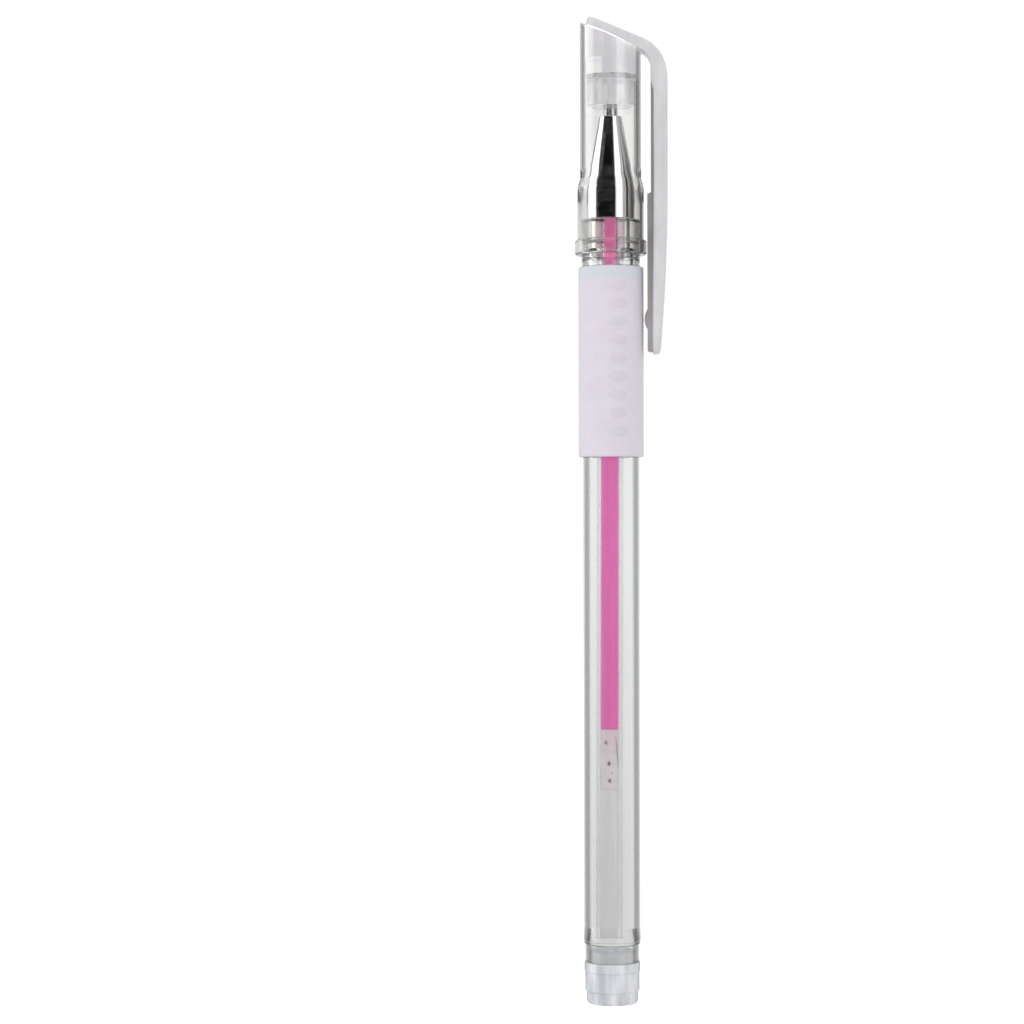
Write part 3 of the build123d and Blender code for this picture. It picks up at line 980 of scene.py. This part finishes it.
def strap_stations():
    """Stations of the one-piece head and clip, from the slab's free end to the clip's tip."""
    top_start, top_fall = Vector((-3.35, HEAD_TOP_Z)), 0.436
    low_start = Vector((-3.90, seat_height(-3.90)))
    outer_x, inner_x, plate_x = CLIP_OUTER_X, 6.15, 6.60
    outer_r, inner_r = 6.00, 2.80
    end_r, edge = 2.30, 0.35
    end_steps, bend_steps, arm_steps, tip_steps = 12, 20, 90, 8
    stations = []

    def on_top(x):
        return Vector((x, top_start.y - top_fall * (x - top_start.x)))

    def on_seat(x):
        return Vector((x, seat_height(x)))

    for k in range(end_steps + 1):
        angle = math.pi / 2 * k / end_steps
        back = end_r * (1 - math.cos(angle))
        half = HEAD_HALF_WIDTH - end_r + end_r * math.sin(angle)
        stations.append((on_top(top_start.x + back), on_seat(low_start.x + back), half, edge))

    top_slope, seat_slope = math.atan(top_fall), math.atan(SEAT_FALL)
    outer_centre = on_top(outer_x - outer_r) - Vector((0, outer_r / math.cos(top_slope)))
    inner_centre = on_seat(inner_x - inner_r) - Vector((0, inner_r / math.cos(seat_slope)))
    for k in range(bend_steps + 1):
        outer_angle = (math.pi / 2 - top_slope) * (1 - k / bend_steps)
        inner_angle = (math.pi / 2 - seat_slope) * (1 - k / bend_steps)
        outer = outer_centre + outer_r * Vector((math.cos(outer_angle), math.sin(outer_angle)))
        inner = inner_centre + inner_r * Vector((math.cos(inner_angle), math.sin(inner_angle)))
        stations.append((outer, inner, HEAD_HALF_WIDTH, edge))

    start_z, taper_z, tip_z = outer_centre.y - 0.4, 124.0, CLIP_TIP_Z
    tip_outer_x, tip_inner_x, tip_half, tip_round = 7.50, 6.30, 1.60, 1.00
    thin_z, thin_span = 140.2, 2.2
    for k in range(arm_steps + 1):
        z = start_z + (tip_z + tip_round - start_z) * k / arm_steps
        low = max(0.0, (taper_z - z) / (taper_z - tip_z))
        thinned = inner_x + (plate_x - inner_x) * eased((thin_z - z) / thin_span)
        inner = thinned - (plate_x - tip_inner_x) * low
        outer = outer_x - (outer_x - tip_outer_x) * low * low
        half = HEAD_HALF_WIDTH - (HEAD_HALF_WIDTH - tip_half) * low * low
        stations.append(((outer, z), (inner, z), half, edge + 0.25 * low))
    for k in range(1, tip_steps + 1):
        angle = math.pi / 2 * k / tip_steps
        z = tip_z + tip_round * (1 - math.sin(angle))
        low = (taper_z - z) / (taper_z - tip_z)
        outer = outer_x - (outer_x - tip_outer_x) * low * low
        inner = plate_x - (plate_x - tip_inner_x) * low
        draw = 0.45 * (1 - math.cos(angle))
        half = tip_half - tip_round * (1 - math.cos(angle))
        stations.append(((outer - draw, z), (inner + draw * 0.6, z), half, edge + 0.25 * low))
    return stations


def rib_stations():
    """Stations of the rib inside the clip, with its step and its gripping bump."""
    root_z, end_z, step_z = 140.6, 98.75, 122.80
    high_x, low_x, buried_x = 6.15, 5.60, 6.85
    bump_x, bump_z, bump_r = 5.15, 103.70, 2.80
    half_width, edge, end_r, step_rise = 1.30, 0.14, 0.30, 0.24
    steps, end_steps = 160, 4
    stations = []
    for k in range(steps + 1):
        z = root_z + (end_z + end_r - root_z) * k / steps
        inner = high_x + (low_x - high_x) * eased((step_z + step_rise / 2 - z) / step_rise)
        above = abs(z - bump_z)
        if above < bump_r:
            inner = min(inner, bump_x + bump_r - math.sqrt(bump_r ** 2 - above ** 2))
        stations.append(((buried_x, z), (inner, z), half_width, edge))
    for k in range(1, end_steps + 1):
        angle = math.pi / 2 * k / end_steps
        z = end_z + end_r * (1 - math.sin(angle))
        draw = end_r * (1 - math.cos(angle))
        stations.append(((buried_x, z), (low_x + draw, z), half_width - draw, edge))
    return stations


def clip_pieces():
    """The head's slab and the clip in one smooth strap, bending at the clip's root."""
    material = pearl_look("pearl_plastic", (0.625, 0.625, 0.635), (0.745, 0.745, 0.75))
    strap = piece(
        "clip_strap",
        to_mesh("clip_strap", rounded_bar(strap_stations())),
        material,
        replaced=["cap_head", "clip_arm"],
    )
    # Painted shade: the rib is the strap's own plastic in a darker copy, standing for the shade
    # inside the clip.
    shaded = pearl_look("pearl_painted_shade", (0.30, 0.28, 0.275), (0.40, 0.38, 0.375))
    rib = piece("clip_rib", to_mesh("clip_rib", rounded_bar(rib_stations(), 3)), shaded)
    for obj in (strap, rib):
        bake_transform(obj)


def applied(obj, old_mesh):
    """The object's mesh with its modifiers applied and cleared."""
    bpy.context.view_layer.update()
    graph = bpy.context.evaluated_depsgraph_get()
    mesh = bpy.data.meshes.new_from_object(obj.evaluated_get(graph))
    obj.modifiers.clear()
    mesh.name = old_mesh.name
    mesh.polygons.foreach_set("use_smooth", [True] * len(mesh.polygons))
    mesh.set_sharp_from_angle(angle=SHARP_ANGLE)
    return mesh


def insert_piece():
    """The stepped plug under the slab, cut off along the cap's seat."""
    low_z, step_z, step_x, radius = 140.78, 143.20, -1.10, 3.93
    top = 160.0  # stands for the slanted end until lift gives its height
    outline = rounded([(0, low_z), (radius, low_z, 0.10), (radius, top), (0, top)])
    mesh = lathe("cap_insert", outline, lift=lambda x, z: seat_height(x) if z == top else z)
    obj = piece("cap_insert", mesh, insert_look(), "cap")

    cutter_build = bmesh.new()
    cutter_size = 12
    bmesh.ops.create_cube(cutter_build, size=cutter_size)
    centre = Vector((step_x - cutter_size / 2, 0, step_z - cutter_size / 2))
    bmesh.ops.translate(cutter_build, vec=centre, verts=cutter_build.verts)
    cutter = bpy.data.objects.new("step_cutter", to_mesh("step_cutter", cutter_build))
    bpy.context.scene.collection.objects.link(cutter)
    cut = obj.modifiers.new("step", "BOOLEAN")
    cut.operation = "DIFFERENCE"
    cut.object = cutter
    cut.solver = "EXACT"
    obj.data = applied(obj, mesh)
    bpy.data.objects.remove(cutter)
    return obj


def inner_cap_piece():
    """The inner cap: a flange across the cap tube and a collar that seals round the nib."""
    outline = rounded(
        [
            (1.30, 136.90, 0.05),
            (2.90, 136.90, 0.08),
            (3.15, 136.00, 0.08),
            (3.60, 136.00, 0.15),
            (3.60, 139.95, 0.05),
            (FLANGE_R, 139.95, 0.10),
            (FLANGE_R, INNER_CAP_Z1, 0.10),
            (0, INNER_CAP_Z1),
            (0, 139.92),
            (1.62, 139.92),
            (1.62, 139.18),
            (0.78, 139.18),
            (0.78, 137.42, 0.1),
        ]
    )
    mesh = lathe("nib_seal", outline)
    return piece("nib_seal", mesh, seal_look(), "cap", ["inner_cap"])


def recover(node, material):
    """Gives a CAD node, shown in its CAD shape, a material of its own."""
    materials = frame["nodes"][node].data.materials
    materials.clear()
    materials.append(material)


barrel_piece()
grip_piece()
plug_piece()
cone_piece()
tubing_piece()
holder_piece()
tip_piece()
feed_piece()
ink_piece()
grease_piece()
fleck_piece()
cap_tube_piece()
clip_pieces()
insert_piece()
inner_cap_piece()
recover("tip_ball", ball_look())
recover("seal_pad", pad_look())


# ---------------------------------------------------------------- studio

# The camera, in degrees and metres.  VIEW_DEG turns it from the pen's side towards the clip.
VIEW_DEG = 5.0
VIEW_DISTANCE = 0.421
VIEW_HEIGHT = 0.07456
VIEW_OFFSET = -0.0151
VIEW_ROLL_DEG = 0.13
VIEW_LENS_MM = 97.4

# Strengths of the light round the pen, of the cards that darken it and of the black ones.
SURROUND = 0.92
FLAG = 0.32
BLACK = 0.005


def card_material(name, strength, through):
    """White light of one strength in reflections, and of another seen straight through the glass."""
    material = bpy.data.materials.new(name)
    material.use_nodes = True
    nodes, links = material.node_tree.nodes, material.node_tree.links
    nodes.clear()
    path = nodes.new("ShaderNodeLightPath")
    reflected = nodes.new("ShaderNodeMapRange")
    reflected.inputs["To Min"].default_value = through
    reflected.inputs["To Max"].default_value = strength
    links.new(path.outputs["Glossy Depth"], reflected.inputs["Value"])
    glow = nodes.new("ShaderNodeEmission")
    links.new(reflected.outputs["Result"], glow.inputs["Strength"])
    output = nodes.new("ShaderNodeOutputMaterial")
    links.new(glow.outputs["Emission"], output.inputs["Surface"])
    return material


def studio_card(name, from_deg, to_deg, low_deg, high_deg, strength, through=SURROUND):
    """A curved card round the pen, from one azimuth to another, that the camera doesn't see."""
    distance, middle_z = 0.7, 0.125
    across, up = 12, 6
    build = bmesh.new()
    grid = []
    for i in range(across + 1):
        azimuth = math.radians(VIEW_DEG + from_deg + (to_deg - from_deg) * i / across)
        column = []
        for k in range(up + 1):
            elevation = math.radians(low_deg + (high_deg - low_deg) * k / up)
            height = middle_z + distance * math.tan(elevation)
            place = (distance * math.sin(azimuth), -distance * math.cos(azimuth), height)
            column.append(build.verts.new(place))
        grid.append(column)
    for left, right in zip(grid, grid[1:]):
        for k in range(up):
            build.faces.new((left[k], right[k], right[k + 1], left[k + 1]))
    mesh = bpy.data.meshes.new(name)
    build.to_mesh(mesh)
    build.free()
    mesh.materials.append(card_material(name, strength, through))
    card = bpy.data.objects.new(name, mesh)
    bpy.context.scene.collection.objects.link(card)
    card.visible_camera = False
    card.visible_diffuse = False
    card.visible_shadow = False
    card.visible_volume_scatter = False
    return card


def floor():
    """A plain white floor, low enough to clear the end plug when it is pulled right out."""
    build = bmesh.new()
    bmesh.ops.create_grid(build, x_segments=24, y_segments=24, size=3.0)
    mesh = bpy.data.meshes.new("floor")
    build.to_mesh(mesh)
    build.free()
    glow = {"Emission_Color": (1, 1, 1, 1), "Emission_Strength": 0.42}
    look = Look("floor_paper", (0.90, 0.90, 0.90), 0.9, **glow)
    mesh.materials.append(look.material)
    obj = bpy.data.objects.new("floor", mesh)
    bpy.context.scene.collection.objects.link(obj)
    gap = 0.02 * MM
    obj.location.z = -joint("plug_pull")["range_m"][1] - gap
    obj.visible_transmission = False
    obj.visible_glossy = False
    obj.visible_diffuse = False


def world():
    """White behind the pen, and a soft even surround a little darker for lighting it."""
    made = bpy.data.worlds.new("studio")
    bpy.context.scene.world = made
    made.use_nodes = True
    nodes, links = made.node_tree.nodes, made.node_tree.links
    nodes.clear()
    path = nodes.new("ShaderNodeLightPath")

    def background(color, strength):
        shader = nodes.new("ShaderNodeBackground")
        shader.inputs["Color"].default_value = (*color, 1)
        shader.inputs["Strength"].default_value = strength
        return shader

    cool_white = (0.97, 0.98, 1.0)
    backdrop = background((1, 1, 1), 1.05)
    surround = background(cool_white, SURROUND)
    fill = background(cool_white, 0.87)
    soften = nodes.new("ShaderNodeMixShader")
    links.new(path.outputs["Is Diffuse Ray"], soften.inputs["Fac"])
    links.new(surround.outputs["Background"], soften.inputs[1])
    links.new(fill.outputs["Background"], soften.inputs[2])
    mix = nodes.new("ShaderNodeMixShader")
    output = nodes.new("ShaderNodeOutputWorld")
    links.new(path.outputs["Is Camera Ray"], mix.inputs["Fac"])
    links.new(soften.outputs["Shader"], mix.inputs[1])
    links.new(backdrop.outputs["Background"], mix.inputs[2])
    links.new(mix.outputs["Shader"], output.inputs["Surface"])


def camera():
    """The photo's view: level, from the pen's side, turned a little towards the clip."""
    angle = math.radians(VIEW_DEG)
    right = Vector((math.cos(angle), math.sin(angle), 0))
    back = Vector((math.sin(angle), -math.cos(angle), 0))
    data = bpy.data.cameras.new("camera")
    data.sensor_width = 36.0
    data.lens = VIEW_LENS_MM
    data.clip_start = 0.01
    obj = bpy.data.objects.new("camera", data)
    bpy.context.scene.collection.objects.link(obj)
    obj.location = back * VIEW_DISTANCE + right * VIEW_OFFSET + Vector((0, 0, VIEW_HEIGHT))
    obj.rotation_euler = (math.pi / 2, math.radians(VIEW_ROLL_DEG), angle)
    bpy.context.scene.camera = obj


def key_light():
    """One large soft light, above and to the left of the camera."""
    angle = math.radians(VIEW_DEG - 40)
    distance, height, size, aim_z = 0.8, 0.7, 0.8, 0.09
    data = bpy.data.lights.new("key", "AREA")
    data.shape = "RECTANGLE"
    data.size = size
    data.size_y = size
    data.energy = 2.2
    obj = bpy.data.objects.new("key", data)
    bpy.context.scene.collection.objects.link(obj)
    obj.location = (distance * math.sin(angle), -distance * math.cos(angle), height)
    aim = Vector((0, 0, aim_z)) - obj.location
    obj.rotation_euler = aim.to_track_quat("-Z", "Y").to_euler()
    obj.visible_transmission = False
    obj.visible_glossy = False


camera()
world()
floor()
key_light()
# Azimuths from the camera, elevations and strengths.  The cards stripe the chrome in black
# and white, and the flags behind the pen darken the sides of the clear tubes.
studio_card("card_dark_front", -72, 20, 3, 50, BLACK)
studio_card("card_dark_right", 72, 110, 3, 50, BLACK)
studio_card("card_grey_right", 56, 70, 3, 50, 0.45)
studio_card("card_bright_right", 24, 54, 3, 45, 1.7)
studio_card("card_bright_left", -126, -74, 3, 45, 1.8)
studio_card("card_flag_left", -160, -130, 6, 36, FLAG, through=FLAG)
studio_card("card_flag_right", 118, 160, 6, 36, FLAG, through=FLAG)

scene = bpy.context.scene
scene.view_settings.view_transform = "Standard"
scene.cycles.max_bounces = 24
scene.cycles.transmission_bounces = 24
scene.cycles.transparent_max_bounces = 24
